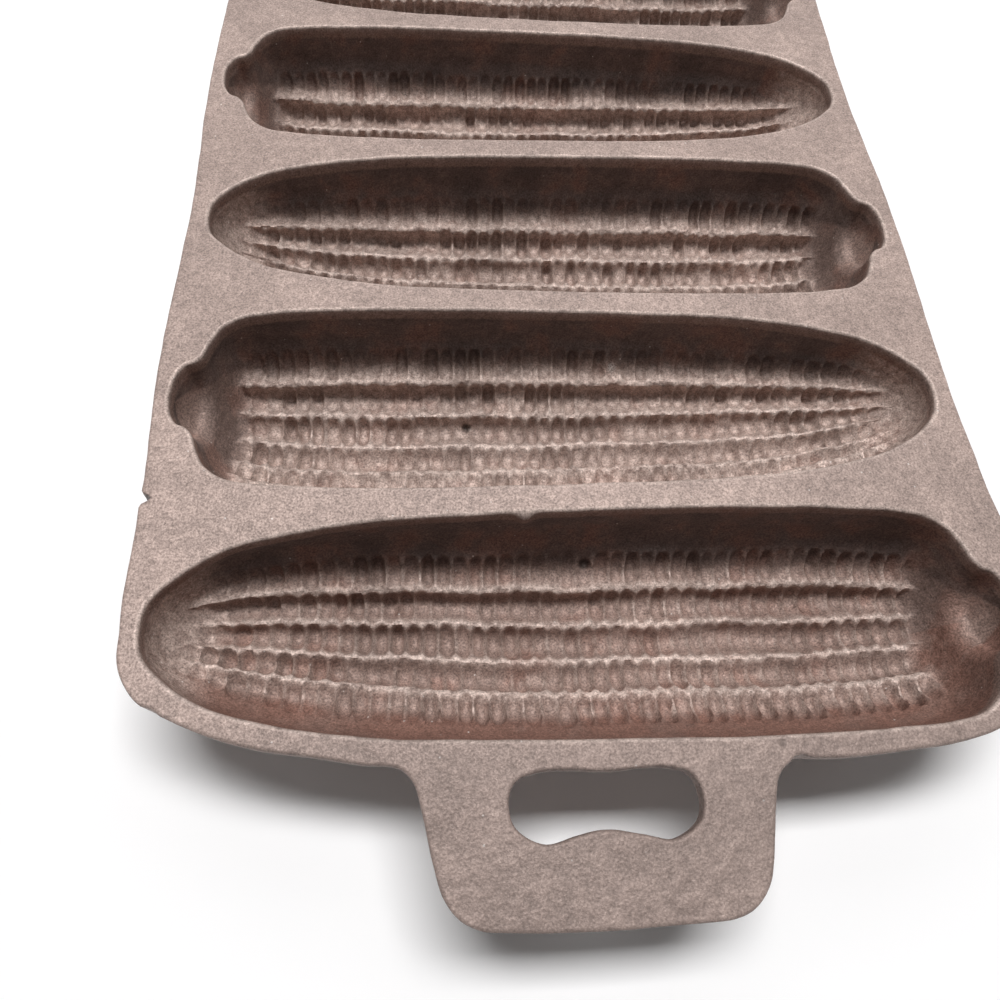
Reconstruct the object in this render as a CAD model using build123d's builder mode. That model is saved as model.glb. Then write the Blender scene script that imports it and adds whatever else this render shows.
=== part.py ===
from build123d import *
from math import cos, radians, sin
import os

# A cast iron pan for seven corn sticks. Its origin is on the surface that it stands on, below its middle.
# X runs along the ear-shaped cups, Y along the row of cups from handle to handle, and Z up.
# The one casting is divided on flat faces: the top deck, the seven cup shells and the two handles.

# Driving dimensions, in millimetres and degrees
cup_count = 7
cup_pitch = 42.0
overall_length = 337.0
deck_thickness = 3.0
wall_thickness = 2.3
cup_half_width = 18.7
tip_reach = 69.4
stalk_reach = 70.9
stalk_half_width = 6.4
side_rim = 3.6
stalk_rim = 3.1
end_rim = 3.6
rest_flat_depth = 0.5

# The plate's edges
outer_edge_round = 0.9
mould_edge_round = 0.5

# The cob: rows of kernels pressed into each cup
row_spacing = 22.5
row_width = 19.5
kernel_pitch = 2.9
kernel_depth = 0.8
kernel_line_sink = 0.15
tool_overlap = 1.5
kernel_tip_gap = 6.0
kernel_stalk_gap = 4.5
row_staggers = [0, 1 / 2, 1 / 4, 3 / 4]

# The handles
handle_offset = -1.0
handle_root_half_width = 27.5
handle_end_half_width = 21.8
handle_joint_half_width = 34.0
handle_joint_rim = 1.5
handle_root_round = 5.0
handle_corner_round = 8.0
slot_half_length = 14.2
slot_width = 9.3
slot_hump = 1.7
lobe_share = 0.72
slot_root_gap = 4.2
slot_corner_round = 3.5
slot_edge_round = 0.8

# Half of a cup's mouth, as shares of its tip reach and its half width, from the tip to the stalk end
cup_side_shares = [
    (0.937, 0.422),
    (0.836, 0.652),
    (0.720, 0.775),
    (0.504, 0.904),
    (0.216, 0.963),
    (-0.144, 0.992),
    (-0.432, 1.000),
    (-0.648, 0.979),
    (-0.843, 0.904),
]
side_end_lean = 12.0
shoulder_share = (-0.942, 0.556)
neck_share = (-0.953, 0.401)
stalk_side_share = (-0.972, 0.970)
neck_round = 1.2
stalk_end_round = 1.5

# The deck's end edge, out from the end cup's axis, as shares of the deck's half width and its end reach
tip_corner_shares = [(-0.989, 0.233), (-0.949, 0.453), (-0.856, 0.632), (-0.726, 0.785), (-0.575, 0.879)]
tip_root_share = (-0.459, 0.938)
tip_root_lean = 5.0
stalk_root_share = (0.473, 1.000)
stalk_corner_shares = [(0.644, 0.964), (0.788, 0.897), (0.904, 0.744), (0.975, 0.448)]

# Places that follow from the dimensions
deck_bottom = cup_half_width + wall_thickness - rest_flat_depth
end_cup_y = cup_pitch * (cup_count - 1) / 2
end_reach = cup_half_width + end_rim
tip_side_x = tip_reach + side_rim
stalk_side_x = stalk_reach + stalk_rim
joint_reach = cup_half_width + handle_joint_rim
handle_reach = overall_length / 2 - end_cup_y
slot_root_reach = cup_half_width + slot_root_gap
slot_end_reach = slot_root_reach + slot_width


def tip_way(number):
    # The cups lie head to tail: the tips of the odd ones point to -X
    return -1 if number % 2 else 1


def cup_y(number):
    return cup_pitch * (number - 1) - end_cup_y


def cup_plane(number):
    # Lies under the deck with x along the cup's axis to its tip, and looks down into the cup
    return Plane(origin=(0, cup_y(number), deck_bottom), x_dir=(tip_way(number), 0, 0), z_dir=(0, 0, -1))


def end_plane(out):
    # Lies under the deck with y out from an end cup's axis, across the handle
    return Plane(origin=(handle_offset, out * end_cup_y, deck_bottom), x_dir=(out, 0, 0), z_dir=(0, 0, 1))


def sloping(lean):
    # A direction that leans by so many degrees from X
    return (cos(radians(lean)), sin(radians(lean)))


def scaled(share, length, width):
    return (share[0] * length, share[1] * width)


def smooth(points, start, end):
    # A curve through the points that sets out along one direction and arrives along the other
    return Spline(*points, tangents=[start, end], tangent_scalars=[1, 1])


# The cup's long side, which the shell and the kernels follow
side_points = [scaled(share, tip_reach, cup_half_width) for share in cup_side_shares]
tip_arc = TangentArc((tip_reach, 0), side_points[0], tangent=(0, 1))
side_curve = smooth(side_points, tip_arc % 1, sloping(180 + side_end_lean))


def beside(share, distance):
    # A point of the long side, moved out square to it
    along = side_curve % share
    return side_curve @ share + Vector(along.Y, -along.X) * distance


def half_mouth():
    # Half of a cup's mouth, closed along its axis
    neck_point = scaled(neck_share, tip_reach, cup_half_width)
    stalk_side_point = scaled(stalk_side_share, stalk_reach, stalk_half_width)
    with BuildSketch() as half:
        with BuildLine():
            add(tip_arc)
            add(side_curve)
            shoulder_point = scaled(shoulder_share, tip_reach, cup_half_width)
            shoulder = TangentArc(side_curve @ 1, shoulder_point, tangent=side_curve % 1)
            Polyline(shoulder @ 1, neck_point, stalk_side_point)
            TangentArc((-stalk_reach, 0), stalk_side_point, tangent=(0, 1))
            Line((-stalk_reach, 0), (tip_reach, 0))
        make_face()
        corners = half.vertices()
        fillet(corners.sort_by_distance(neck_point)[0], neck_round)
        corners = half.vertices()
        fillet(corners.sort_by_distance(stalk_side_point)[0], stalk_end_round)
    return half.sketch


def half_shell():
    # Half of the shell's outside, one wall thickness out from the cup
    with BuildSketch() as half:
        with BuildLine():
            tip = TangentArc((tip_reach + wall_thickness, 0), beside(0, wall_thickness), tangent=(0, 1))
            steps = len(side_points)
            middle = [beside(step / steps, wall_thickness) for step in range(1, steps)]
            side = smooth([tip @ 1, *middle, beside(1, wall_thickness)], tip % 1, side_curve % 1)
            TangentArc((-stalk_reach - wall_thickness, 0), side @ 1, tangent=(0, 1))
            Line((-stalk_reach - wall_thickness, 0), (tip_reach + wall_thickness, 0))
        make_face()
    return half.sketch


def kernel_row(stagger):
    # One row's section: a scallop for each kernel, closed by a line inside the cup
    first = kernel_tip_gap / side_curve.length
    last = 1 - kernel_stalk_gap / side_curve.length
    count = round((last - first) * side_curve.length / kernel_pitch) - 1
    step = (last - first) / (count + 1)
    first = first + stagger * step
    with BuildSketch() as row:
        with BuildLine():
            lines = [beside(first + step * place, kernel_line_sink) for place in range(count + 1)]
            for place in range(count):
                crown = beside(first + step * (place + 1 / 2), kernel_depth)
                ThreePointArc(lines[place], crown, lines[place + 1])
            inside = [end - Vector(0, tool_overlap) for end in (lines[-1], lines[0])]
            Polyline(lines[-1], *inside, lines[0])
        make_face()
    return row.sketch


def row_angles(number):
    # The end cups have a row along their floor, and the others a line between two rows
    rows = round(180 / row_spacing)
    if number in (1, cup_count):
        return [row_spacing * row for row in range(1, rows)]
    return [row_spacing * (row + 1 / 2) for row in range(rows)]


mouth_half = half_mouth()
shell_half = half_shell()
kernel_rows = [kernel_row(stagger) for stagger in row_staggers]


def side_edge(side):
    # The deck's long side, which swells a little past each stalk end
    points = []
    for number in range(1, cup_count + 1):
        reach = tip_side_x if tip_way(number) == side else stalk_side_x
        points.append((side * reach, cup_y(number)))
    smooth(points, (0, 1), (0, 1))


def end_edge(number, out):
    # The deck's end, round the tip corner, along the handle's root and round the stalk corner
    way = -tip_way(number)

    def placed(point):
        return (way * point[0], cup_y(number) + out * point[1])

    def turned(direction):
        return (way * direction[0], out * direction[1])

    tip_root = scaled(tip_root_share, tip_side_x, end_reach)
    stalk_root = scaled(stalk_root_share, stalk_side_x, end_reach)
    tip_points = [scaled(share, tip_side_x, end_reach) for share in tip_corner_shares]
    stalk_points = [scaled(share, stalk_side_x, end_reach) for share in stalk_corner_shares]
    tip_corner = [placed(point) for point in [(-tip_side_x, 0), *tip_points, tip_root]]
    stalk_corner = [placed(point) for point in [stalk_root, *stalk_points, (stalk_side_x, 0)]]
    smooth(tip_corner, turned((0, 1)), turned(sloping(tip_root_lean)))
    Line(placed(tip_root), placed(stalk_root))
    smooth(stalk_corner, turned((1, 0)), turned((0, -1)))


def plate_outline():
    # The deck and both handles in one outline, before they are divided
    with BuildSketch(Plane.XY.offset(deck_bottom)) as outline:
        with BuildLine():
            side_edge(-1)
            side_edge(1)
            end_edge(1, -1)
            end_edge(cup_count, 1)
        make_face()
        for out in (-1, 1):
            with BuildLine():
                root_y = out * (end_cup_y + joint_reach)
                end_y = out * (end_cup_y + handle_reach)
                Polyline(
                    (handle_offset - handle_root_half_width, root_y),
                    (handle_offset + handle_root_half_width, root_y),
                    (handle_offset + handle_end_half_width, end_y),
                    (handle_offset - handle_end_half_width, end_y),
                    close=True,
                )
            make_face()
        middle_y = end_cup_y + (joint_reach + handle_reach) / 2
        at_handles = outline.vertices().filter_by(
            lambda corner: abs(corner.X - handle_offset) <= handle_root_half_width
        )
        fillet(at_handles.filter_by(lambda corner: abs(corner.Y) < middle_y), handle_root_round)
        ends = outline.vertices().filter_by(lambda corner: abs(corner.Y) > middle_y)
        fillet(ends, handle_corner_round)
    return outline.sketch


def handle_block(out):
    # Everything past the flat joint face between the deck and one handle
    depth = handle_reach - joint_reach + end_rim
    with BuildSketch(Plane.XY.offset(deck_bottom - tool_overlap)) as block:
        with Locations((0, out * (end_cup_y + joint_reach + depth / 2))):
            Rectangle(2 * handle_joint_half_width, depth)
    return block.sketch


def slot_outline():
    # Straight beside the deck, and two shallow lobes with a low hump between them beside the bar
    lobe_x = slot_half_length * lobe_share
    corner_x = slot_half_length - slot_corner_round
    corner_y = slot_root_reach + slot_corner_round
    with BuildSketch() as slot:
        with BuildLine():
            Line((-corner_x, slot_root_reach), (corner_x, slot_root_reach))
            TangentArc((corner_x, slot_root_reach), (slot_half_length, corner_y), tangent=(1, 0))
            lobes = [
                (slot_half_length, corner_y),
                (lobe_x, slot_end_reach),
                (0, slot_end_reach - slot_hump),
                (-lobe_x, slot_end_reach),
                (-slot_half_length, corner_y),
            ]
            smooth(lobes, (0, 1), (0, -1))
            TangentArc((-corner_x, slot_root_reach), (-slot_half_length, corner_y), tangent=(-1, 0))
        make_face()
    return slot.sketch


def corn_cup(angles):
    # One cup's shell about the X axis, with a row of kernels at each angle
    with BuildPart() as cup:
        with BuildSketch():
            add(shell_half)
        revolve(axis=Axis.X, revolution_arc=180)
        with BuildSketch():
            add(mouth_half)
        revolve(axis=Axis.X, revolution_arc=180, mode=Mode.SUBTRACT)
        for row, angle in enumerate(angles):
            with BuildSketch(Plane.XY.rotated((angle - row_width / 2, 0, 0))):
                add(kernel_rows[row % len(kernel_rows)])
            revolve(axis=Axis.X, revolution_arc=row_width, mode=Mode.SUBTRACT)
        split(bisect_by=Plane.XY.offset(deck_bottom), keep=Keep.BOTTOM)
    return cup.part


os.makedirs("parts", exist_ok=True)

# The whole plate with rounded edges, from which the deck and the handles are cut
with BuildPart() as plate:
    extrude(plate_outline(), amount=deck_thickness)
    rims = plate.faces().sort_by(Axis.Z)[0].edges() + plate.faces().sort_by(Axis.Z)[-1].edges()
    fillet(rims, outer_edge_round)

# The deck, with a mouth for each cup
with BuildPart() as deck:
    add(plate.part)
    for out in (-1, 1):
        extrude(handle_block(out), amount=deck_thickness + 2 * tool_overlap, mode=Mode.SUBTRACT)
    for number in range(1, cup_count + 1):
        with BuildSketch(cup_plane(number)):
            add(mouth_half)
            mirror(about=Plane.XZ)
        extrude(amount=deck_thickness + tool_overlap, both=True, mode=Mode.SUBTRACT)
    top = deck.faces().sort_by(Axis.Z)[-1]
    for wire in top.inner_wires():
        fillet(wire.edges(), mould_edge_round)
deck.part.label = "deck"
export_step(deck.part, "parts/deck.step")

# The handles, each with a slot to lift or hang the pan by
for name, out in (("near_handle", -1), ("far_handle", 1)):
    with BuildPart() as handle:
        add(plate.part)
        extrude(handle_block(out), amount=deck_thickness + 2 * tool_overlap, mode=Mode.INTERSECT)
        with BuildSketch(end_plane(out)):
            add(slot_outline())
        extrude(amount=deck_thickness + tool_overlap, both=True, mode=Mode.SUBTRACT)
        levels = [handle.faces().sort_by(Axis.Z)[0], handle.faces().sort_by(Axis.Z)[-1]]
        for level in levels:
            fillet(level.inner_wires()[0].edges(), slot_edge_round)
    handle.part.label = name
    export_step(handle.part, f"parts/{name}.step")

# The cups, of which the two at the ends are alike and so are the rest
end_cup = corn_cup(row_angles(1))
inner_cup = corn_cup(row_angles(2))
for number in range(1, cup_count + 1):
    shape = end_cup if number in (1, cup_count) else inner_cup
    cup = cup_plane(number).location * shape
    cup.label = f"corn_cup_{number}"
    export_step(cup, f"parts/corn_cup_{number}.step")
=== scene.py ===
import math

import bmesh
import bpy
from mathutils import Matrix, Vector, geometry, noise


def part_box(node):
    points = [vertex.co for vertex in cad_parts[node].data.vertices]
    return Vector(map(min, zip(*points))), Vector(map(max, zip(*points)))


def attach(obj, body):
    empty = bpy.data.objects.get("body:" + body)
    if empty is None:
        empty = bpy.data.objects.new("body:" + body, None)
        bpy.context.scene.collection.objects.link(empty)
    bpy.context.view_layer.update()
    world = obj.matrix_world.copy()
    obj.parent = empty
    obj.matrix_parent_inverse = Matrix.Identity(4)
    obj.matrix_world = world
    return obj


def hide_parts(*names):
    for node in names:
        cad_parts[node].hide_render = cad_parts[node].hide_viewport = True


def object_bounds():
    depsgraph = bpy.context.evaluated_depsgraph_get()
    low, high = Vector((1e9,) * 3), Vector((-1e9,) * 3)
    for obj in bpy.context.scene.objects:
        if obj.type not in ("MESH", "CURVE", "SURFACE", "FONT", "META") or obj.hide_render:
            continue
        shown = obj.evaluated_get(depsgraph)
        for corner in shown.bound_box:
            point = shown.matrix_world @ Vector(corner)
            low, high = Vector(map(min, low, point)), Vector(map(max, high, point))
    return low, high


bl_info = {
    "name": "Corn Stick Pan",
    "version": (1, 0, 0),
    "blender": (4, 5, 0),
    "location": "3D View > Sidebar > Pan",
    "description": "Casts the deck, cups and handles of a corn stick pan and sets the table under it",
    "category": "Object",
}

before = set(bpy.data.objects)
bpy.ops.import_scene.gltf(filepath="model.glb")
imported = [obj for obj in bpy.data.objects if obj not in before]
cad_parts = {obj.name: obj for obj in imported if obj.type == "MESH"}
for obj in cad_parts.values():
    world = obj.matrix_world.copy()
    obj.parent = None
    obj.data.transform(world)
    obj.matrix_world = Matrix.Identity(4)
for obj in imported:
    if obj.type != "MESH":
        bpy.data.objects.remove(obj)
CAD_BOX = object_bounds()

# What the frame gives: the plate's two levels and the cups' places along Y
DECK_LOW, DECK_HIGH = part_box("deck")
PLATE_TOP = DECK_HIGH[2]
PLATE_BOTTOM = DECK_LOW[2]
CUP_COUNT = sum(1 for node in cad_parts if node.startswith("corn_cup_"))
HANDLE_REACH = CAD_BOX[1][1]

MM = 0.001


# Plan outlines, as shares of the sizes below

# Half a cup's mouth from its tip to its stalk end: along its reach, and out to its half width
CUP_SHARES = [
    (0.989, 0.205), (0.937, 0.422), (0.836, 0.652), (0.720, 0.775), (0.504, 0.904), (0.216, 0.963),
    (-0.144, 0.992), (-0.432, 1.000), (-0.648, 0.979), (-0.793, 0.938), (-0.872, 0.872), (-0.917, 0.742),
    (-0.942, 0.556), (-0.955, 0.428), (-0.972, 0.360), (-0.993, 0.326), (-1.012, 0.225),
]
# Half a shell's outside at the stalk end, which is plainer than the mouth there
BUTT_SHARES = [(-0.913, 0.860), (-0.962, 0.700), (-0.998, 0.480), (-1.015, 0.240)]
# The deck's corners, out from the end cup's axis
TIP_CORNER_SHARES = [
    (-0.989, 0.233), (-0.949, 0.453), (-0.856, 0.632), (-0.726, 0.785), (-0.575, 0.879), (-0.459, 0.938),
]
STALK_CORNER_SHARES = [(0.473, 1.000), (0.644, 0.964), (0.788, 0.897), (0.904, 0.744), (0.975, 0.448)]
# The slot beside the bar: where its lobes peak and where its sides stand, as shares of its half length,
# and how deep the hump's shoulders lie, as a share of the hump
LOBE_SHARE = 0.66
SLOT_SIDE_SHARE = 0.975
SHOULDER_SHARE = 0.55
# Pits in the casting, in millimetres: x and y from the end cup's centre, height, then reach and depth
PITS = [
    (2.8, 14.6, 7.7, 1.5, 0.9), (-18.3, 47.2, 2.0, 1.3, 0.8), (27.0, -20.0, 23.5, 0.9, 0.4),
    (-71.8, 21.7, 22.3, 1.8, 0.9), (-73.0, 18.6, 22.6, 1.0, 0.5),
]
# How steeply a pit in the surface falls off, as a share of its reach
PIT_SPREAD = 0.5
# A small burst of bright grains, in the same way but without a depth
BURST = (11.7, 57.9, 9.2, 2.2)
# Bites out of the casting's edge, in millimetres: x and y from the end cup's centre, then reach and depth
BITES = [
    (-73.2, 21.7, 1.15, 2.9), (-73.2, 18.6, 0.7, 0.7), (29.5, -22.6, 1.4, 0.5), (-66.0, -12.6, 1.2, 0.3),
]
# Where the plate's long sides lean in beside the end cup, in the same way
LEANS = [(-73.4, 19.0, 20.0, 1.6), (73.9, 21.0, 9.0, 0.7)]
# How steeply bites and leans end, and a bite's depth at the underside as a share of that at the top
BITE_POWER = 4
LEAN_POWER = 2
BITE_BELOW = 0.25
# A drip of iron on a lip, in metres: the cup, the side of its axis, how far along, its reach and its size
DRIP = (1, -1, 0.0095, 0.0015, 0.0009)


def length_property(name, description, default):
    return bpy.props.FloatProperty(
        name=name, description=description, default=default,
        min=0.0, precision=5, unit="LENGTH", subtype="DISTANCE",
    )


def colour_property(name, description, default):
    return bpy.props.FloatVectorProperty(
        name=name, description=description, default=default, size=3, subtype="COLOR"
    )


def power_property(name, description, default):
    return bpy.props.FloatProperty(name=name, description=description, default=default, unit="POWER")


class PanSizes(bpy.types.PropertyGroup):
    """Sizes of the casting that its maker would change."""

    tip_reach: length_property("Tip reach", "From a cup's middle to its tip", 0.0694)
    stalk_reach: length_property("Stalk reach", "From a cup's middle to the end of its stalk", 0.0709)
    cup_half_width: length_property("Cup half width", "Half of a cup's width at its widest", 0.0187)
    wall: length_property("Wall", "Thickness of a cup's shell", 0.0023)
    tip_rim: length_property("Tip rim", "Deck between a cup's tip and the side", 0.0036)
    stalk_rim: length_property("Stalk rim", "Deck between a stalk and the side", 0.0031)
    end_rim: length_property("End rim", "Deck between an end cup and the end", 0.0036)
    ring: length_property("Ring", "Width of the cup's own lip on the deck", 0.0008)
    lip_round: length_property("Lip round", "Radius of a cup's lip", 0.0006)
    edge_round: length_property("Edge round", "Radius of the plate's outer edges", 0.0005)
    kernel_pitch: length_property("Kernel pitch", "Spacing of the kernels along a row", 0.0029)
    kernel_depth: length_property("Kernel depth", "Depth of the kernel rows", 0.0030)
    kernel_line: length_property("Kernel line", "Half width of the line between two kernels", 0.00046)
    row_spacing: bpy.props.FloatProperty(
        name="Row spacing", description="Angle between two rows of kernels",
        default=math.radians(22.5), unit="ROTATION",
    )
    handle_offset: length_property("Handle offset", "How far the handles sit to -X", 0.001)
    handle_root: length_property("Handle root", "Half of the handle's width at the deck", 0.0275)
    handle_end: length_property("Handle end", "Half of the handle's width at its end", 0.0218)
    handle_root_round: length_property("Root round", "Radius between the deck and the handle", 0.005)
    handle_corner_round: length_property("Corner round", "Radius of the handle's outer corners", 0.008)
    slot_offset: length_property("Slot offset", "How far the slots sit to -X", 0.00025)
    slot_half: length_property("Slot half length", "Half of the slot's length", 0.01405)
    slot_width: length_property("Slot width", "The slot's width across its lobes", 0.0093)
    slot_root_gap: length_property("Slot gap", "From the end cup's edge line to the slot", 0.0042)
    slot_hump: length_property("Slot hump", "Height of the low hump between the lobes", 0.0017)
    slot_corner_round: length_property("Slot corner", "Radius of its corners beside the deck", 0.0035)
    slot_round: length_property("Slot edge", "Radius of the slot's edges", 0.0005)
    waver: length_property("Waver", "How far the cast outlines stray", 0.00016)
    lump: length_property("Lump", "How far the cups' walls stray", 0.00022)


class IronFinish(bpy.types.PropertyGroup):
    """Colours of the iron."""

    deck: colour_property("Deck", "Bare cast face", (0.372, 0.284, 0.251))
    seasoned: colour_property("Seasoned", "Baked-on brown in the cups", (0.290, 0.203, 0.173))
    rust: colour_property("Rust", "Reddish patches", (0.215, 0.112, 0.086))
    # Painted shade: a near-black colour laid on the cups' plain walls high up, where shade falls
    soot: colour_property("Soot", "Thick dark seasoning high on the walls", (0.070, 0.053, 0.050))
    glint: colour_property("Glint", "Small bright grains", (0.80, 0.74, 0.70))
    # Partly painted light: besides rubbed ridges, this colour lightens whole rows of kernels and, as a
    # painted highlight, the lips
    wear: colour_property("Wear", "Rubbed ridges and lips", (0.66, 0.535, 0.475))


def cup_middle(number):
    low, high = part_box(f"corn_cup_{number}")
    return (low[1] + high[1]) / 2


def tip_way(number):
    # The cups lie head to tail: the tips of the odd ones point to -X
    return -1 if number % 2 else 1


# Lines in the plan

# Spacing of the points along the cups' outlines and along the plate's edges
CUP_SPACING = MM / 8
EDGE_SPACING = MM / 2
# Steps round a handle's corner in the plan, and over a rounded edge
CORNER_STEPS = 10
ROUND_STEPS = 4
# Nearer than this is the same place
TINY = MM / 1000


def smooth_line(points, spacing):
    """A dense smooth closed line through plan points."""
    count = len(points)

    def at(place):
        return points[place % count]

    def slope(place):
        back = at(place) - at(place - 1)
        ahead = at(place + 1) - at(place)
        turned = ahead.normalized() * back.length + back.normalized() * ahead.length
        return turned / (back.length + ahead.length)

    line = []
    for place in range(count):
        start, end = at(place), at(place + 1)
        reach = (end - start).length
        steps = max(1, math.ceil(reach / spacing))
        for step in range(steps):
            t = step / steps
            line.append(
                start * (2 * t ** 3 - 3 * t ** 2 + 1) + slope(place) * reach * (t ** 3 - 2 * t ** 2 + t)
                + end * (3 * t ** 2 - 2 * t ** 3) + slope(place + 1) * reach * (t ** 3 - t ** 2)
            )
    return line


def rounded_line(corners):
    """A path of straight runs whose corners are (point, radius)."""
    line = [corners[0][0]]
    for before, (corner, radius), after in zip(corners, corners[1:], corners[2:]):
        back = (before[0] - corner).normalized()
        ahead = (after[0] - corner).normalized()
        half = math.acos(max(-1, min(1, back.dot(ahead)))) / 2
        centre = corner + (back + ahead).normalized() * (radius / math.sin(half))
        first = corner + back * (radius / math.tan(half)) - centre
        last = corner + ahead * (radius / math.tan(half)) - centre
        sweep = first.angle_signed(last)
        for step in range(CORNER_STEPS + 1):
            spoke = first.copy()
            spoke.rotate(Matrix.Rotation(-sweep * step / CORNER_STEPS, 2))
            line.append(centre + spoke)
    line.append(corners[-1][0])
    return line


def even_line(line, count):
    """The closed line again, with so many points at even spacing."""
    total = [0.0]
    for start, end in zip(line, line[1:] + line[:1]):
        total.append(total[-1] + (end - start).length)
    even, place = [], 0
    for step in range(count):
        along = total[-1] * step / count
        while total[place + 1] <= along:
            place += 1
        share = (along - total[place]) / (total[place + 1] - total[place])
        even.append(line[place].lerp(line[(place + 1) % len(line)], share))
    return even


def outward(line):
    """Each point's direction out of a closed line that runs anticlockwise."""
    normals = []
    for before, after in zip(line[-1:] + line[:-1], line[1:] + line[:1]):
        along = (after - before).normalized()
        normals.append(Vector((along.y, -along.x)))
    return normals


def mirrored(points, tip, stalk):
    """A closed outline from the half that lies on one side of a cup's axis."""
    near = [Vector(point) for point in points]
    far = [Vector((point.x, -point.y)) for point in reversed(near)]
    return [Vector((tip, 0)), *near, Vector((-stalk, 0)), *far]


def smoothstep(low, high, value):
    share = max(0.0, min(1.0, (value - low) / (high - low)))
    return share * share * (3 - 2 * share)


def rounding(radius):
    """The steps over a rounded edge, from a face to the side: how far in, and how far from the face."""
    turns = [math.radians(90) * step / ROUND_STEPS for step in range(ROUND_STEPS + 1)]
    return [(radius * (1 - math.sin(turn)), radius * (1 - math.cos(turn))) for turn in turns]


# The length of the waver, and a finer one that rides on it: how many times finer and how strong
WAVER_SIZE = 0.009
FINE_WAVER = (3, 0.45)
# The vector noise has offsets that differ from run to run unless they are seeded
NOISE_SEED = 4


def stray(place, sizes):
    """The cast outlines' small wandering in the plan, the same for every piece."""
    spot = Vector((place.x, place.y, 0)) / WAVER_SIZE
    finer, strength = FINE_WAVER
    drift = (noise.noise_vector(spot) + noise.noise_vector(spot * finer) * strength) * sizes.waver
    return Vector((place.x + drift.x, place.y + drift.y, place.z))


# Points nearer than this become one, and edges of a piece that turn more than the angle are sharp
MERGE_REACH = MM / 500
SHARP_ANGLE = math.radians(48)


def finish_piece(name, bm, material, nodes):
    """Makes the piece's object, hangs it on the root's body and hides the nodes that it stands for."""
    bmesh.ops.remove_doubles(bm, verts=bm.verts, dist=MERGE_REACH)
    bmesh.ops.dissolve_degenerate(bm, dist=TINY, edges=bm.edges)
    bmesh.ops.recalc_face_normals(bm, faces=bm.faces)
    mesh = bpy.data.meshes.new(name)
    bm.to_mesh(mesh)
    bm.free()
    mesh.shade_smooth()
    mesh.set_sharp_from_angle(angle=SHARP_ANGLE)
    mesh.materials.append(material)
    piece = bpy.data.objects.new(name, mesh)
    bpy.context.scene.collection.objects.link(piece)
    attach(piece, "root")
    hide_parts(*nodes)
    return piece


# The cups

# The grid: columns along the cup, rows round the bowl and rows round the shell
COLUMNS = 448
BOWL_ROWS = 132
SHELL_ROWS = 30
# How many of the mouth's points give the shell's side its shape
SHELL_POINTS = 16
# The vertex layers that the iron's look follows, painted shade and painted light among them
LAYERS = ("wear", "cavity", "stain", "soot")

# Where the kernels run out, along the cup from its middle
KERNEL_TIP = (0.0575, 0.0665)
KERNEL_BUTT = (-0.0645, -0.0610)
# Where the stalk's hollow begins beyond them
KERNEL_NUB = (-0.0695, -0.0655)
# How much of the kernels' depth stands inside the smooth wall
RIDGE_SHARE = 0.60
# The thinnest that the iron gets under the kernels, and the sine above which the floor counts
THINNEST = 0.0007
FLOOR_SINE = 0.1
# How far the rows of a cup turn round it, and how much more towards its tip, in rows
ROW_TURNS = {1: (0.08, 0.42)}
# How brightly a cup's rows are scoured and lightened, where it differs from the others: partly wear, partly
# painted light that lifts rows the light leaves dark
ROW_SCOUR_AND_LIGHT = {1: 0.10}
ROW_SCOUR_AND_LIGHT_MOST = 0.80
# How rubbed the ridges are, and the smooth iron past the kernels at the tip and at the butt
RIDGE_WEAR = 0.85
TIP_WEAR = 0.60
BUTT_WEAR = 0.06
# The side of a cup's axis whose plain wall is stained brown; every other plain wall is darkened with
# painted shade
STAINED_SIDE = {1: 1}
# Where the rows turn into the plain wall, in rows past the last one, and how plain the stalk's hollow is
PLAIN_EDGE = (-0.20, 0.28)
NUB_PLAIN = 0.5
# How far the rows wander round the cup, in rows, and over what length: slowly, and quickly
ROW_DRIFT, DRIFT_LENGTH = 0.07, 0.012
ROW_WOBBLE, WOBBLE_LENGTH = 0.05, 0.0026
# How far kernels stray along their row, in kernels, and over what length, and how far a row's end strays
KERNEL_SWAY, SWAY_LENGTH = 0.17, 0.006
END_STRAY = 0.003
# Over what length crisp stretches turn to worn ones, and how far across the middle of the noise
CRISP_LENGTH = 0.022
CRISP_RANGE = 0.45
# How much of a row's depth is single kernels where it is worn, and how much more where it is crisp
WORN_SHARE, CRISP_SHARE = 0.28, 0.38
# A row's hollow and a kernel's, as shares of their room, and the powers that shape their walls
ROW_ROOM, KERNEL_ROOM = 0.90, 0.94
CHANNEL_POWER = 2.1
KERNEL_END_POWER, KERNEL_SIDE_POWER, KERNEL_FLOOR_POWER = 2.8, 2.4, 0.7
# Lumps on the bowl's wall: the size and the strength of each
LUMPS = ((0.007, 1.0), (0.0021, 0.45), (0.001, 0.2))
# The sines over which the lumps and the drip fade at the lip
LUMP_FADE = 0.3
DRIP_FADE = 0.10
# The levels below a lip's rounding, as shares of the deck's thickness
LIP_SHARES = (0.4, 0.6, 0.8)
# How much a lip is lightened, partly as wear and partly as a painted highlight along it, and how far down,
# in its radii
LIP_WEAR_AND_HIGHLIGHT, LIP_WEAR_AND_HIGHLIGHT_DEPTH = 0.7, 2.2
# Each cup's own place in the noise
SEED_STEP = 7.3


def mouth_line(sizes):
    points = [(along * sizes.tip_reach, out * sizes.cup_half_width) for along, out in CUP_SHARES]
    outline = mirrored(points, sizes.tip_reach, sizes.stalk_reach)
    return even_line(smooth_line(outline, CUP_SPACING), 2 * COLUMNS)


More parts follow.
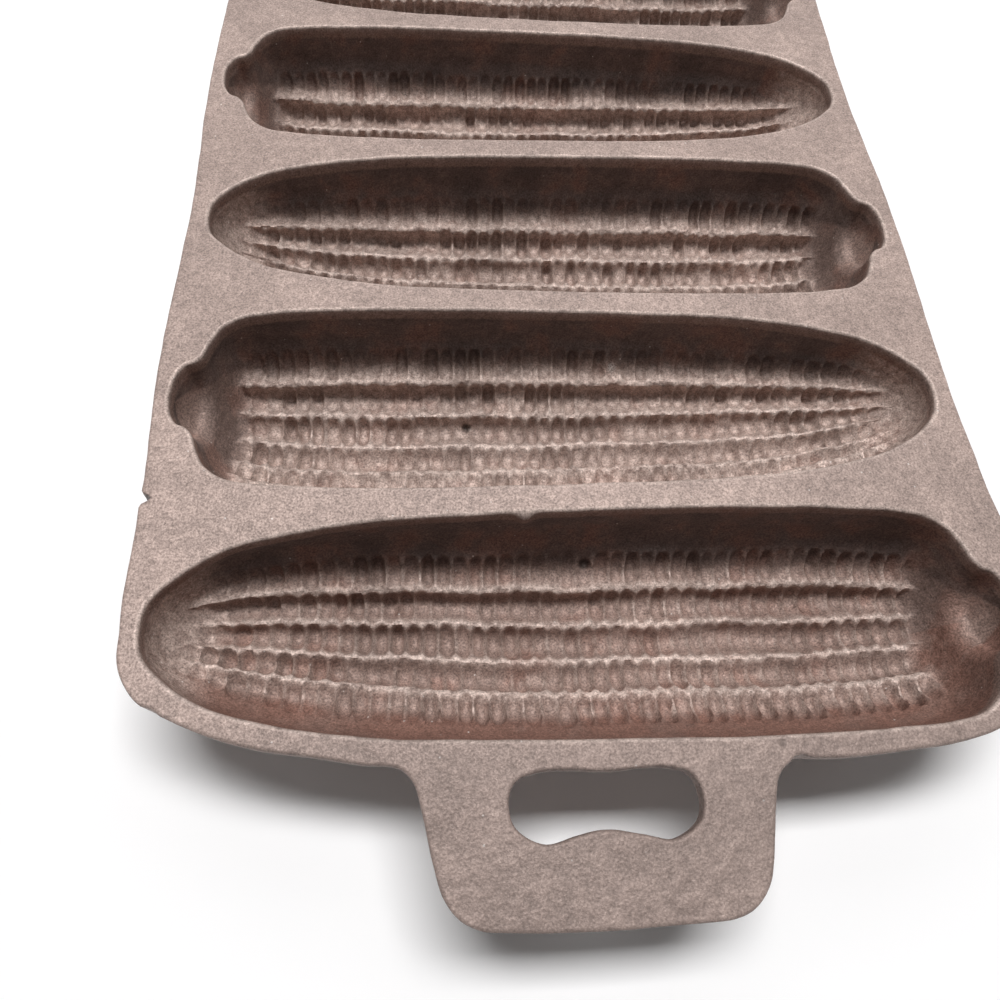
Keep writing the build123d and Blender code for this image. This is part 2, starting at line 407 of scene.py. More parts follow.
def shell_line(sizes):
    mouth = mouth_line(sizes)
    normals = outward(mouth)
    places = range(0, COLUMNS, COLUMNS // SHELL_POINTS)
    side = [mouth[place] + normals[place] * sizes.wall for place in places]
    side = [point for point in side[1:] if point.x > BUTT_SHARES[0][0] * sizes.tip_reach + sizes.wall]
    half_width = sizes.cup_half_width + sizes.wall
    butt = [Vector((along * sizes.stalk_reach, out * half_width)) for along, out in BUTT_SHARES]
    outline = mirrored(side + butt, sizes.tip_reach + sizes.wall, sizes.stalk_reach + sizes.wall)
    return even_line(smooth_line(outline, CUP_SPACING), 2 * COLUMNS)


def kernel_relief(number, along, angle, sizes):
    """How deep the kernels sink below the cup's smooth wall, how rubbed and lightened the iron is, partly
    as painted light, and how plain.
    """
    # Every draw has a place of its own in the noise
    seed = SEED_STEP * number
    drift = noise.noise(Vector((along / DRIFT_LENGTH, angle * 3, seed)))
    wobble = noise.noise(Vector((along / WOBBLE_LENGTH, angle * 5, seed + 4.2)))
    turn = angle / sizes.row_spacing + ROW_DRIFT * drift + ROW_WOBBLE * wobble
    whole_turn, tip_turn = ROW_TURNS.get(number, (0.0, 0.0))
    turn -= whole_turn + tip_turn * smoothstep(0.0, sizes.tip_reach, along)
    # An end cup has a row along its bottom and the others a ridge. The outer rows open into the plain wall
    first, last = (2.0, 6.0) if number in (1, CUP_COUNT) else (1.5, 6.5)
    row = min(max(round(turn - first) + first, first), last)
    across = 2 * abs(turn - row)
    beyond = max((first - turn) / first, (turn - last) / (math.pi / sizes.row_spacing - last), 0.0)
    start = END_STRAY * noise.noise(Vector((row * 2.3, seed, 0.5)))
    past_tip = smoothstep(KERNEL_TIP[0], KERNEL_TIP[1], along + start)
    past_butt = 1 - smoothstep(KERNEL_BUTT[0], KERNEL_BUTT[1], along + start / 3)
    fade = (1 - past_tip) * (1 - past_butt)
    smooth = TIP_WEAR * past_tip + BUTT_WEAR * past_butt
    plain = smoothstep(PLAIN_EDGE[0], PLAIN_EDGE[1], max(first - turn, turn - last)) * (1 - past_tip)
    plain = max(plain, NUB_PLAIN * past_butt * smoothstep(KERNEL_NUB[0], KERNEL_NUB[1], along))
    if not fade:
        return 0.0, smooth, plain
    shift = noise.cell(Vector((row + 0.25, seed, 3.5)))
    sway = noise.noise(Vector((along / SWAY_LENGTH, row * 2.7, seed)))
    place = along / sizes.kernel_pitch + shift + KERNEL_SWAY * sway
    kernel = math.floor(place)
    within = 2 * (place - kernel) - 1
    chance = noise.cell(Vector((kernel + 0.5, row + 0.25, seed)))
    gap = (1 - abs(within)) * sizes.kernel_pitch / 2
    line = math.exp(-(gap / sizes.kernel_line) ** 2)
    # Some stretches came out crisp, kernel by kernel, and others as one worn channel
    stretch = noise.noise(Vector((along / CRISP_LENGTH, row * 1.3, seed + 9.1)))
    crisp = smoothstep(-CRISP_RANGE, CRISP_RANGE, stretch)
    share = WORN_SHARE + CRISP_SHARE * crisp
    out = min(1.0, across / ROW_ROOM)
    spread = 1 + (0.08 + 0.20 * crisp) * within ** 2
    channel = 1 - smoothstep(0.0, 1.0, beyond) if beyond else max(0.0, 1 - (out * spread) ** CHANNEL_POWER)
    bowl = 1 - abs(within / KERNEL_ROOM) ** KERNEL_END_POWER - out ** KERNEL_SIDE_POWER
    dimple = max(0.0, bowl) ** KERNEL_FLOOR_POWER
    hollow = (1 - share) * channel + share * dimple * (0.80 + 0.40 * chance)
    ridge = 0.0 if beyond else smoothstep(0.58, 1.0, across * spread)
    line *= channel * max(0.0, 1 - out ** 4)
    # Scouring lightens the rows, less in the hollows: partly wear, partly painted light that lifts rows the
    # light leaves dark
    scour_and_light = ROW_SCOUR_AND_LIGHT.get(number, ROW_SCOUR_AND_LIGHT_MOST) * (1 - plain) * (1 - 0.5 * hollow)
    lines = line * (0.45 + 0.55 * crisp) * (1 - 0.7 * plain)
    rubbed_and_lit = max(RIDGE_WEAR * ridge, lines, scour_and_light) * fade + smooth
    # The ridges stand inside the smooth wall and the kernels sink outside it
    level = RIDGE_SHARE * (1 - smoothstep(0.0, 0.6, beyond))
    return sizes.kernel_depth * fade * (hollow - level), rubbed_and_lit, plain


def pitted(point):
    """How deep the named pits are at a point."""
    depth = 0.0
    for x, y, z, reach, deep in PITS:
        spot = Vector((x * MM, y * MM - END_MIDDLE, z * MM))
        depth += deep * MM * math.exp(-((point - spot).length / (PIT_SPREAD * reach * MM)) ** 2)
    return depth


def cup_piece(number, sizes, material):
    """One cup: its lip in the deck, the kernelled bowl and the shell outside it."""
    way = tip_way(number)
    middle = cup_middle(number)
    mouth = mouth_line(sizes)
    normals = outward(mouth)
    shell = shell_line(sizes)
    axis_z = PLATE_BOTTOM
    thickness = PLATE_TOP - PLATE_BOTTOM

    # The section round one column of the grid, from one side's lip through the bowl and back outside
    lip = [(sizes.ring, 0.0), *rounding(sizes.lip_round)]
    lip += [(0.0, thickness * share) for share in LIP_SHARES]
    section = [("lip", 1, *point) for point in lip]
    section += [("bowl", math.pi * step / BOWL_ROWS) for step in range(BOWL_ROWS + 1)]
    section += [("lip", -1, *point) for point in reversed(lip)]
    section.append(("lip", -1, sizes.ring, thickness))
    section += [("shell", math.pi * (1 - step / SHELL_ROWS)) for step in range(SHELL_ROWS + 1)]
    section.append(("lip", 1, sizes.ring, thickness))
    section.append(section[0])

    bm = bmesh.new()
    wear, cavity, stain, soot = [bm.verts.layers.float.new(layer) for layer in LAYERS]
    drip_cup, drip_side, drip_along, drip_reach, drip_out = DRIP

    def drip(along, side):
        if number != drip_cup or side != drip_side:
            return 0.0
        return drip_out * math.exp(-((along - drip_along) / drip_reach) ** 2)

    def place(column, row):
        kind, *spot = section[row]
        point, normal = mouth[column], normals[column]
        rubbed_and_lit = hollow = stained = painted_shade_share = 0.0
        if kind == "lip":
            side, out, drop = spot
            if out < sizes.ring:
                out -= drip(point.x, side) * smoothstep(0.0, 0.4 * thickness, drop)
            local = Vector((point.x + normal.x * out, side * (point.y + normal.y * out), PLATE_TOP - drop))
            # The lip is lightened near its top: partly wear, partly a painted highlight along it
            rubbed_and_lit = LIP_WEAR_AND_HIGHLIGHT * (1.0 - smoothstep(0.0, LIP_WEAR_AND_HIGHLIGHT_DEPTH * sizes.lip_round, drop))
            rubbed_and_lit *= 1.0 - smoothstep(0.3 * sizes.ring, sizes.ring, out)
            hollow = smoothstep(0.0, 0.7 * thickness, drop) if out < sizes.ring else 0.0
        elif kind == "bowl":
            angle = spot[0]
            hollow = 1.0
            depth, rubbed_and_lit, plain = kernel_relief(number, point.x, angle, sizes)
            # A plain wall is stained brown on the stained side and darkened with painted shade on the
            # others
            if STAINED_SIDE.get(number, 0) * math.cos(angle) > 0:
                stained = plain
            else:
                painted_shade_share = plain
            sink = math.sin(angle)
            side = math.copysign(1, math.cos(angle))
            depth -= drip(point.x, side) * (1 - smoothstep(0.0, DRIP_FADE, sink))
            spot = Vector((point.x, angle * point.y, number * 0.3))
            lumps = sum(strength * noise.noise(spot / size) for size, strength in LUMPS)
            radius = point.y + depth + lumps * sizes.lump * smoothstep(0.0, LUMP_FADE, sink)
            radius = max(radius, 0.0) if point.y > 0 else 0.0
            spot = Vector((way * point.x, middle + way * radius * math.cos(angle), axis_z - radius * sink))
            radius += pitted(spot) if radius else 0.0
            thickest = max(shell[column].y - THINNEST, 0.0)
            if sink > FLOOR_SINE:
                thickest = min(thickest, (axis_z - THINNEST) / sink)
            radius = min(radius, thickest)
            local = Vector((point.x, radius * math.cos(angle), axis_z - radius * sink))
        else:
            angle = spot[0]
            outside = shell[column]
            height = axis_z - outside.y * math.sin(angle)
            local = Vector((outside.x, outside.y * math.cos(angle), max(height, 0.0)))
        placed = Vector((way * local.x, middle + way * local.y, local.z))
        return stray(placed, sizes), rubbed_and_lit, hollow, stained, painted_shade_share

    made = bmesh.ops.create_grid(bm, x_segments=COLUMNS, y_segments=len(section) - 1, size=1)
    for vertex in made["verts"]:
        column = round((vertex.co.x + 1) / 2 * COLUMNS)
        row = round((vertex.co.y + 1) / 2 * (len(section) - 1))
        vertex.co, vertex[wear], vertex[cavity], vertex[stain], vertex[soot] = place(column, row)
    name = f"corn_cup_{number}"
    return finish_piece(f"{name}_casting", bm, material, [name])


# The plate

# The joint between the deck and each handle
JOINT_HALF = (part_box("near_handle")[1][0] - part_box("near_handle")[0][0]) / 2
JOINT_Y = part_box("far_handle")[0][1]
END_MIDDLE = cup_middle(CUP_COUNT)
# How far in a flat face begins behind its rounded edge, in the edge's radii
FLAT_INSET = 1.25


def end_points(sizes):
    """The plate's end out from the end cup's axis, from the tip side round the handle to the stalk side."""
    tip_side = sizes.tip_reach + sizes.tip_rim
    stalk_side = sizes.stalk_reach + sizes.stalk_rim
    reach = sizes.cup_half_width + sizes.end_rim
    tip_corner = [Vector((x * tip_side, y * reach)) for x, y in TIP_CORNER_SHARES]
    stalk_corner = [Vector((x * stalk_side, y * reach)) for x, y in STALK_CORNER_SHARES]
    handle_reach = HANDLE_REACH - END_MIDDLE
    corners = []
    for side in (-1, 1):
        root = Vector((side * sizes.handle_root - sizes.handle_offset, JOINT_Y - END_MIDDLE))
        end = Vector((side * sizes.handle_end - sizes.handle_offset, handle_reach))
        meeting = geometry.intersect_line_line_2d(root, end, tip_corner[-1], stalk_corner[0])
        corners.append([(meeting, sizes.handle_root_round), (end, sizes.handle_corner_round)])
    path = [(tip_corner[-1], 0), *corners[0], *reversed(corners[1]), (stalk_corner[0], 0)]
    handle = rounded_line(path)
    return [Vector((-tip_side, 0)), *tip_corner[:-1], *handle, *stalk_corner[1:], Vector((stalk_side, 0))]


def plate_outline(sizes):
    """The whole plate's outline as (point, way in), anticlockwise, with a point where a joint meets it."""
    tip_side = sizes.tip_reach + sizes.tip_rim
    stalk_side = sizes.stalk_reach + sizes.stalk_rim
    end = end_points(sizes)
    inner = range(2, CUP_COUNT)
    control = [Vector((point.x, -END_MIDDLE - point.y)) for point in end]
    control += [Vector((tip_side if tip_way(cup) > 0 else stalk_side, cup_middle(cup))) for cup in inner]
    control += [Vector((point.x, END_MIDDLE + point.y)) for point in reversed(end)]
    back = reversed(inner)
    control += [Vector((-stalk_side if tip_way(cup) > 0 else -tip_side, cup_middle(cup))) for cup in back]
    line = smooth_line(control, EDGE_SPACING)
    whole = []
    for start, stop in zip(line, line[1:] + line[:1]):
        whole.append(start)
        for x in (-JOINT_HALF, JOINT_HALF):
            if (start.x - x) * (stop.x - x) < 0:
                meeting = start.lerp(stop, (x - start.x) / (stop.x - start.x))
                whole.append(Vector((x, meeting.y)))
    outline = []
    for point, normal in zip(whole, outward(whole)):
        if at_joint(point):
            normal = Vector((0, math.copysign(1, point.y)))
        outline.append((point, -normal))
    return outline


def at_joint(point):
    return abs(abs(point.x) - JOINT_HALF) < TINY and abs(point.y) > JOINT_Y


def beyond_joint(point):
    return abs(point.x) < JOINT_HALF and abs(point.y) > JOINT_Y and not at_joint(point)


def joint_corner(point):
    # A joint's corners keep still where the plate's edge is rounded
    return Vector((point.x, math.copysign(JOINT_Y, point.y))), Vector((0, 0))


def deck_edge(outline):
    loop = []
    for point, inward in outline:
        if at_joint(point):
            pair = [(point, inward), joint_corner(point)]
            entering = point.x * point.y > 0
            loop += pair if entering else reversed(pair)
        elif not beyond_joint(point):
            loop.append((point, inward))
    return loop


def handle_edge(outline, out):
    part = [(p, inward) for p, inward in outline if out * p.y > 0 and (at_joint(p) or beyond_joint(p))]
    return [*part, joint_corner(part[-1][0]), joint_corner(part[0][0])]


def slot_edge(sizes, out):
    """The slot: straight beside the deck, two shallow lobes and a low hump between them beside the bar."""
    half = sizes.slot_half
    root = sizes.cup_half_width + sizes.slot_root_gap
    end = root + sizes.slot_width
    corner = sizes.slot_corner_round
    points = [Vector((-half + corner, root)), Vector((0, root)), Vector((half - corner, root))]
    for turn in (30, 60, 90):
        swing = math.radians(turn)
        across, rise = corner * math.sin(swing), corner * (1 - math.cos(swing))
        points.append(Vector((half - corner + across, root + rise)))
    points.append(Vector((half * SLOT_SIDE_SHARE, (root + end + corner) / 2)))
    points.append(Vector((half * LOBE_SHARE, end)))
    points.append(Vector((half * LOBE_SHARE / 2, end - SHOULDER_SHARE * sizes.slot_hump)))
    points.append(Vector((0, end - sizes.slot_hump)))
    points += [Vector((-point.x, point.y)) for point in reversed(points[3:-1])]
    placed = [Vector((out * point.x - sizes.slot_offset, out * (END_MIDDLE + point.y))) for point in points]
    line = smooth_line(placed, EDGE_SPACING)
    return list(zip(line, outward(line)))


def cup_edge(sizes, number):
    mouth = mouth_line(sizes)
    way, middle = tip_way(number), cup_middle(number)
    line = [point + normal * sizes.ring for point, normal in zip(mouth, outward(mouth))]
    return [(Vector((way * point.x, middle + point.y)), Vector((0, 0))) for point in line[::2]]


def bitten(point, height):
    """How far in the edge is at a point: its leans, and its bites, which are deepest at the top."""
    top = BITE_BELOW + (1 - BITE_BELOW) * smoothstep(PLATE_BOTTOM, PLATE_TOP, height)
    depth = 0.0
    for places, share, power in ((LEANS, 1.0, LEAN_POWER), (BITES, top, BITE_POWER)):
        for x, y, reach, deep in places:
            spot = Vector((x * MM, y * MM - END_MIDDLE))
            depth += deep * MM * share * math.exp(-((point - spot).length / (reach * MM)) ** power)
    return depth


def edge_levels(radius):
    """The levels of a rounded edge from the underside to the top: how far in, and how high."""
    flat = radius * FLAT_INSET
    below = [(inset, PLATE_BOTTOM + drop) for inset, drop in rounding(radius)]
    above = [(inset, PLATE_TOP - drop) for inset, drop in reversed(rounding(radius))]
    return [(flat, PLATE_BOTTOM), *below, *above, (flat, PLATE_TOP)]


def wall(bm, loop, levels, sizes, nearest):
    """A wall along a closed loop through its levels, and the two rings of edges that it ends in."""
    step = bm.verts.layers.int["step"]

    def spot(vertex, level):
        point, inward = loop[vertex[step]]
        inset, height = level
        moved = point + inward * (inset + bitten(point, height))
        # A rounded edge stops where it would pass the joint
        y = math.copysign(max(abs(moved.y), nearest), moved.y)
        return stray(Vector((moved.x, y, height)), sizes)

    ring = bmesh.ops.create_circle(bm, segments=len(loop), radius=1)["verts"]
    for place, vertex in enumerate(ring):
        vertex[step] = place
        vertex.co = spot(vertex, levels[0])
    edges = list(dict.fromkeys(edge for vertex in ring for edge in vertex.link_edges))
    first = edges
    for level in levels[1:]:
        made = bmesh.ops.extrude_edge_only(bm, edges=edges)["geom"]
        fresh = {part for part in made if isinstance(part, bmesh.types.BMVert)}
        for vertex in fresh:
            vertex.co = spot(vertex, level)
        edges = [part for part in made if isinstance(part, bmesh.types.BMEdge)]
        edges = [edge for edge in edges if fresh.issuperset(edge.verts)]
    return first, edges


def fill_flat(bm, edges):
    """Fills the flat face between closed rings of edges, each of which then has a wall and the face."""
    bmesh.ops.triangle_fill(bm, use_beauty=True, edges=edges, normal=(0, 0, 1))
    if any(len(edge.link_faces) != 2 for edge in edges):
        raise RuntimeError("A flat face of the plate can't be filled")


def plate_piece(name, node, edge, holes, sizes, material, nearest=0.0):
    """A piece of the plate from its rounded outer edge and its holes, each a loop with its levels."""
    bm = bmesh.new()
    bm.verts.layers.int.new("step")
    lower, upper = [], []
    for loop, levels in [(edge, edge_levels(sizes.edge_round)), *holes]:
        first, last = wall(bm, loop, levels, sizes, nearest)
        lower += first
        upper += last
    for edges in (lower, upper):
        fill_flat(bm, edges)
    bm.verts.layers.int.remove(bm.verts.layers.int["step"])
    return finish_piece(name, bm, material, [node])


# The iron

# How far out a mark keeps its full strength, as a share of its reach
NEAR_SHARE = 0.25
# The sizes of the iron's patterns
CLOUD_SIZE = 0.030
WAVE_SIZE = 0.010
PATCH_SIZE = 0.009
PEBBLE_SIZE = 0.0016
SPECK_SIZE = 0.0015
GRAIN_SIZE = 0.00036
# Where the face turns coarse and dark towards a handle, out along Y
COARSE_REACH = (0.135, 0.150)
WHITE = (1.0, 1.0, 1.0, 1.0)


class Value:
    """A node's output that can be added to, taken from or multiplied with numbers or other outputs."""

    def __init__(self, shading, socket):
        self.shading = shading
        self.socket = socket

    def combined(self, operation, *others):
        node = self.shading.node("ShaderNodeMath", {"operation": operation}, [self, *others])
        return Value(self.shading, node.outputs[0])

    def __add__(self, other):
        return self.combined("ADD", other)

    def __sub__(self, other):
        return self.combined("SUBTRACT", other)

    def __rsub__(self, other):
        return (self * -1) + other

    def __mul__(self, other):
        return self.combined("MULTIPLY", other)

    def ranged(self, low, high, to_low=0.0, to_high=1.0):
        """This value smoothly brought from one range to another."""
        settings = {"interpolation_type": "SMOOTHSTEP"}
        node = self.shading.node("ShaderNodeMapRange", settings, [self, low, high, to_low, to_high])
        return Value(self.shading, node.outputs["Result"])


class Shading:
    """The nodes of a material or of the world, under construction."""

    def __init__(self, owner):
        owner.use_nodes = True
        self.tree = owner.node_tree
        self.tree.nodes.clear()

    def node(self, kind, settings=None, inputs=()):
        """A node with its settings, then its inputs by place or by name."""
        node = self.tree.nodes.new(kind)
        for name, value in (settings or {}).items():
            setattr(node, name, value)
        named = inputs.items() if isinstance(inputs, dict) else enumerate(inputs)
        for name, value in named:
            if isinstance(value, Value):
                self.tree.links.new(value.socket, node.inputs[name])
            else:
                node.inputs[name].default_value = value
        return node

    def output(self, kind, settings=None, inputs=(), name=0):
        return Value(self, self.node(kind, settings, inputs).outputs[name])

    def noise(self, place, size, detail, roughness=0.5):
        inputs = {"Vector": place, "Scale": 1 / size, "Detail": detail, "Roughness": roughness}
        return self.output("ShaderNodeTexNoise", {}, inputs, "Fac")

    def cells(self, place, size, name):
        return self.output("ShaderNodeTexVoronoi", {}, {"Vector": place, "Scale": 1 / size}, name)

    def blended(self, share, first, second):
        """Two colours mixed by a share."""
        # The node has sockets for every kind of mix: these are the colours' own
        inputs = {0: share, 6: first, 7: second}
        return self.output("ShaderNodeMix", {"data_type": "RGBA"}, inputs, 2)

    def scaled(self, colour, amount):
        """A colour made lighter or darker by a value."""
        inputs = {0: colour, "Scale": amount}
        return self.output("ShaderNodeVectorMath", {"operation": "SCALE"}, inputs)

    def near(self, place, spot, reach):
        """One close to a spot, falling to nothing at its reach."""
        inputs = {0: place, 1: spot}
        distance = self.output("ShaderNodeVectorMath", {"operation": "DISTANCE"}, inputs, "Value")
        return distance.ranged(NEAR_SHARE * reach, reach, 1.0, 0.0)


def solid(colour):
    return (*colour, 1.0)


def cast_iron(finish):
    """Bare cast iron: sandy on the deck, browned in the cups, rubbed along their ridges, with painted shade
    high on the cups' walls and painted light on their rows and lips.
    """
    material = bpy.data.materials.new("Cast iron")
    shade = Shading(material)
    place = shade.output("ShaderNodeTexCoord", name="Object")
    wear, cavity, stain, soot = [
        shade.output("ShaderNodeAttribute", {"attribute_name": layer}, name="Fac") for layer in LAYERS
    ]
    along = shade.output("ShaderNodeSeparateXYZ", {}, [place], "Y")

    clouds = shade.noise(place, CLOUD_SIZE, 3.0)
    patches = shade.noise(place, PATCH_SIZE, 3.0, 0.6)
    pebbles = shade.noise(place, PEBBLE_SIZE, 3.0, 0.6)
    grain = shade.noise(place, GRAIN_SIZE, 2.0, 0.75)
    coarse = along.combined("ABSOLUTE").ranged(*COARSE_REACH)

    # The tone: the sandy grey-brown deck, the brown and reddish cups with painted shade on their plain
    # walls high up, and the ridges, rubbed and partly lightened as painted light
    reddish = patches.ranged(0.50, 0.66) * cavity * 0.55 + stain * patches.ranged(0.30, 0.60, 0.65, 0.95)
    reddish = reddish.combined("MINIMUM", 0.9)
    # Painted shade: the plain walls high in the cups are darkened towards near black, where shade falls
    dark = soot * patches.ranged(0.30, 0.65, 0.80, 0.50)
    seasoned = shade.blended(dark, solid(finish.seasoned), solid(finish.soot))
    browned = shade.blended(reddish, seasoned, solid(finish.rust))
    tone = shade.blended(cavity, solid(finish.deck), browned)
    # Rubbed iron is lighter: partly wear, partly painted light on whole rows and a painted highlight along
    # the lips
    rubbed_and_lit = wear * pebbles.ranged(0.30, 0.62, 0.35, 1.0)
    tone = shade.blended(rubbed_and_lit * 0.8, tone, solid(finish.wear))
    # Bright specks sit in the middle of a few cells, which are chosen by the cells' own colours
    chance = shade.output("ShaderNodeSeparateColor", {}, [shade.cells(place, SPECK_SIZE, "Color")])
    middle = shade.cells(place, SPECK_SIZE, "Distance").ranged(0.05, 0.15, 1.0, 0.0)
    specks = middle * chance.ranged(0.88, 0.94)
    x, y, z, reach = BURST
    burst = shade.near(place, (x * MM, y * MM - END_MIDDLE, z * MM), reach * MM) * grain.ranged(0.40, 0.52)
    tone = shade.blended((specks * 0.7).combined("MAXIMUM", burst), tone, solid(finish.glint))
    speckle = (grain - 0.5) * (cavity * 0.3 + coarse * -0.8 + 2.1)
    level = (
        clouds.ranged(0.25, 0.75, 0.90, 1.08) * patches.ranged(0.3, 0.7, 0.92, 1.07)
        * pebbles.ranged(0.30, 0.70, 0.87, 1.10) * (speckle + 1) * coarse.ranged(0.0, 1.0, 1.0, 0.77)
    )

    pits = None
    for x, y, z, reach, deep in PITS:
        pit = shade.near(place, (x * MM, y * MM - END_MIDDLE, z * MM), reach * MM) * deep
        pits = pit if pits is None else pits + pit
    # The pits also darken the colour towards their middles: painted shade in each pit
    tone = shade.scaled(tone, level * (1 - pits.combined("MINIMUM", 0.7)))

    # The relief in millimetres: waves from the mould, pebbles, sand grain, the named pits and the specks
    waves = shade.noise(place, WAVE_SIZE, 1.0)
    height = (
        waves * 0.35 + patches * 0.12 + pebbles * (coarse * 0.22 + cavity * 0.06 + 0.11)
        + grain * (cavity * 0.04 + 0.065) - pits * 0.5 + specks * 0.03
    )
    bump = shade.output("ShaderNodeBump", {}, {"Strength": 1.0, "Distance": MM, "Height": height})
    roughness = grain.ranged(0.3, 0.7, 0.60, 0.46) - wear * 0.08
    surface = shade.output("ShaderNodeBsdfPrincipled", {}, {
        "Base Color": tone, "Roughness": roughness, "Metallic": 0.15, "Normal": bump,
        "Specular IOR Level": 0.2,
    })
    shade.node("ShaderNodeOutputMaterial", {}, {"Surface": surface})
    return material


# The table, the light and the camera

TABLE_HALF = 1.4
# The lamps: where each stands, its width and height, and the setting with its power
LAMPS = {
    "Main lamp": ((0.0, 0.62, 2.45), (1.8, 0.55), "lamp_power"),
    "Window lamp": ((0.0, 1.80, 1.90), (2.4, 0.9), "window_power"),
    "Left lamp": ((-2.00, 0.50, 1.40), (0.7, 0.9), "side_power"),
    "Right lamp": ((2.00, 0.50, 1.40), (0.7, 0.9), "side_power"),
}
# The spot that they all face
LIT_SPOT = (0.0, -0.05, 0.0)
# The camera's sensor in millimetres, and the nearest that it sees in metres
SENSOR_WIDTH = 36.0
NEAREST_SEEN = 0.01


def background_rays(shade):
    """One for the rays that show the background: the camera's, and those off metal or through glass."""
    rays = shade.node("ShaderNodeLightPath")
    kinds = ("Camera", "Glossy", "Transmission")
    seen, off_metal, through = [Value(shade, rays.outputs[f"Is {kind} Ray"]) for kind in kinds]
    return seen.combined("MAXIMUM", off_metal).combined("MAXIMUM", through)


def floor_material(stage):
    material = bpy.data.materials.new("Pale table")
    shade = Shading(material)
    inputs = {
        "Base Color": solid(stage.table), "Roughness": 0.9, "Specular IOR Level": 0.1,
        "Emission Color": WHITE, "Emission Strength": background_rays(shade) * stage.table_glow,
    }
    surface = shade.output("ShaderNodeBsdfPrincipled", {}, inputs)
    shade.node("ShaderNodeOutputMaterial", {}, {"Surface": surface})
    return material


def set_table(stage):
    bm = bmesh.new()
    bmesh.ops.create_grid(bm, x_segments=1, y_segments=1, size=TABLE_HALF)
    mesh = bpy.data.meshes.new("Table")
    bm.to_mesh(mesh)
    bm.free()
    mesh.materials.append(floor_material(stage))
    table = bpy.data.objects.new("Table", mesh)
    bpy.context.scene.collection.objects.link(table)


def area_lamp(name, spot, size, power):
    data = bpy.data.lights.new(name, "AREA")
    data.shape = "RECTANGLE"
    data.size, data.size_y = size
    data.energy = power
    lamp = bpy.data.objects.new(name, data)
    bpy.context.scene.collection.objects.link(lamp)
    lamp.location = spot
    lamp.rotation_euler = (Vector(LIT_SPOT) - Vector(spot)).to_track_quat("-Z", "Y").to_euler()


def set_world(stage):
    world = bpy.data.worlds.new("Studio")
    bpy.context.scene.world = world
    shade = Shading(world)
    strength = background_rays(shade).ranged(0.0, 1.0, stage.ambience, 1.0)
    background = shade.output("ShaderNodeBackground", {}, {"Color": WHITE, "Strength": strength})
    shade.node("ShaderNodeOutputWorld", {}, {"Surface": background})


def set_camera(stage):
    data = bpy.data.cameras.new("Camera")
    data.lens = stage.lens
    data.sensor_width = SENSOR_WIDTH
    data.clip_start = NEAREST_SEEN
    camera = bpy.data.objects.new("Camera", data)
    bpy.context.scene.collection.objects.link(camera)
    right = Vector(stage.camera_right).normalized()
    up = Vector(stage.camera_up)
    up = (up - right * up.dot(right)).normalized()
    turn = Matrix((right, up, right.cross(up))).transposed()
    camera.rotation_euler = turn.to_euler()
    camera.location = stage.camera_spot
    bpy.context.scene.camera = camera


class StageSettings(bpy.types.PropertyGroup):
    """The table, the light and the camera."""

    table: colour_property("Table", "Colour of the table", (0.97, 0.965, 0.97))
    table_glow: bpy.props.FloatProperty(
        name="Table glow", description="How much whiter the table looks than it is lit",
        default=0.03, min=0.0,
    )
    lamp_power: power_property("Lamp", "Power of the main lamp", 66.0)
    window_power: power_property("Window", "Power of the low lamp beyond the pan", 8.0)
    side_power: power_property("Sides", "Power of each side lamp", 2.0)
    ambience: bpy.props.FloatProperty(
        name="Ambience", description="Light from all round", default=0.03, min=0.0
    )
    lens: bpy.props.FloatProperty(
        name="Lens", description="Focal length in millimetres", default=26.17, min=1.0
    )
    camera_spot: bpy.props.FloatVectorProperty(
        name="Camera", description="Where the camera stands", default=(-0.0224, -0.1565, 0.1345),
        size=3, subtype="XYZ", unit="LENGTH",
    )
    camera_right: bpy.props.FloatVectorProperty(
        name="Right", description="The picture's direction to the right", default=(0.9974, -0.0416, 0.0595),
        size=3, subtype="XYZ",
    )
    camera_up: bpy.props.FloatVectorProperty(
        name="Up", description="The picture's upward direction", default=(0.0129, 0.908, 0.4187),
        size=3, subtype="XYZ",
    )


# The tools in the sidebar

def iron():
    """The one finish that every piece shares."""
    material = bpy.data.materials.get("Cast iron")
    return material or cast_iron(bpy.context.scene.iron_finish)


class PAN_OT_cast_deck(bpy.types.Operator):
    """Casts the deck, with a mouth for each cup"""

    bl_idname = "pan.cast_deck"
    bl_label = "Cast the deck"

    def execute(self, context):
        sizes = context.scene.pan_sizes
        edge = deck_edge(plate_outline(sizes))
        flat = [(0.0, PLATE_BOTTOM), (0.0, PLATE_TOP)]
        mouths = [(cup_edge(sizes, number), flat) for number in range(1, CUP_COUNT + 1)]
        plate_piece("deck_casting", "deck", edge, mouths, sizes, iron())
        return {"FINISHED"}


class PAN_OT_cast_handles(bpy.types.Operator):
    """Casts the slotted handle at each end"""

    bl_idname = "pan.cast_handles"
    bl_label = "Cast the handles"

    def execute(self, context):
        sizes = context.scene.pan_sizes
        outline = plate_outline(sizes)
        for node, out in (("near_handle", -1), ("far_handle", 1)):
            slot = [(slot_edge(sizes, out), edge_levels(sizes.slot_round))]
            edge = handle_edge(outline, out)
            plate_piece(f"{node}_casting", node, edge, slot, sizes, iron(), JOINT_Y)
        return {"FINISHED"}


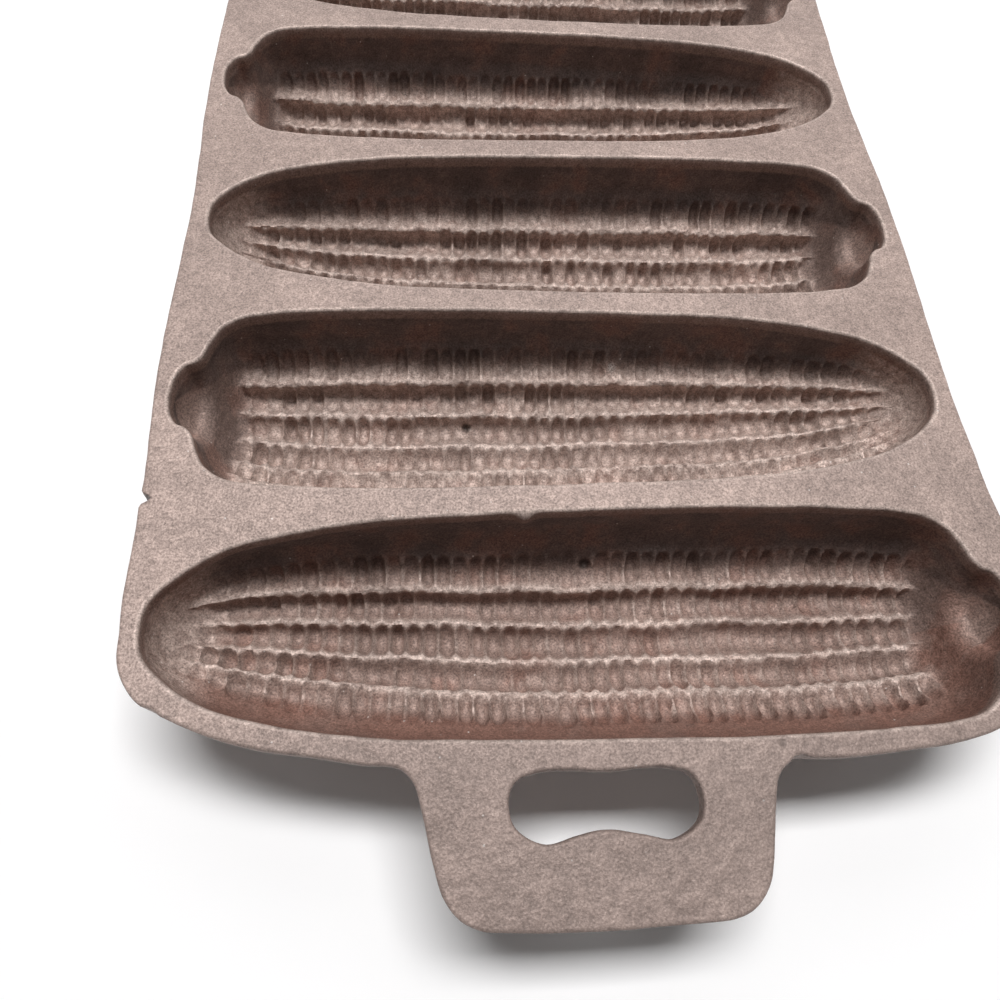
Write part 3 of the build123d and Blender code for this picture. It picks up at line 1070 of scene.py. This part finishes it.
class PAN_OT_cast_cups(bpy.types.Operator):
    """Casts the ear-shaped cups with their rows of kernels"""

    bl_idname = "pan.cast_cups"
    bl_label = "Cast the cups"

    def execute(self, context):
        sizes = context.scene.pan_sizes
        for number in range(1, CUP_COUNT + 1):
            cup_piece(number, sizes, iron())
        return {"FINISHED"}


class PAN_OT_set_stage(bpy.types.Operator):
    """Sets the table, the soft light and the camera"""

    bl_idname = "pan.set_stage"
    bl_label = "Set the stage"

    def execute(self, context):
        stage = context.scene.pan_stage
        set_table(stage)
        for name, (spot, size, power) in LAMPS.items():
            area_lamp(name, spot, size, getattr(stage, power))
        set_world(stage)
        set_camera(stage)
        context.scene.view_settings.view_transform = "Standard"
        return {"FINISHED"}


class PAN_PT_workshop(bpy.types.Panel):
    """The pan's sizes, its finish and its making"""

    bl_label = "Corn Stick Pan"
    bl_space_type = "VIEW_3D"
    bl_region_type = "UI"
    bl_category = "Pan"

    def draw(self, context):
        for settings in (context.scene.pan_sizes, context.scene.iron_finish, context.scene.pan_stage):
            box = self.layout.box()
            for name in settings.__annotations__:
                box.prop(settings, name)
        for tool in TOOLS:
            self.layout.operator(tool.bl_idname)


TOOLS = (PAN_OT_cast_deck, PAN_OT_cast_handles, PAN_OT_cast_cups, PAN_OT_set_stage)
SETTINGS = {"pan_sizes": PanSizes, "iron_finish": IronFinish, "pan_stage": StageSettings}


def register():
    noise.seed_set(NOISE_SEED)
    for kind in (*SETTINGS.values(), *TOOLS, PAN_PT_workshop):
        bpy.utils.register_class(kind)
    for name, kind in SETTINGS.items():
        setattr(bpy.types.Scene, name, bpy.props.PointerProperty(type=kind))


def unregister():
    for name in SETTINGS:
        delattr(bpy.types.Scene, name)
    for kind in reversed((*SETTINGS.values(), *TOOLS, PAN_PT_workshop)):
        bpy.utils.unregister_class(kind)


def main():
    register()
    bpy.ops.pan.cast_deck()
    bpy.ops.pan.cast_handles()
    bpy.ops.pan.cast_cups()
    bpy.ops.pan.set_stage()


if __name__ == "__main__":
    main()
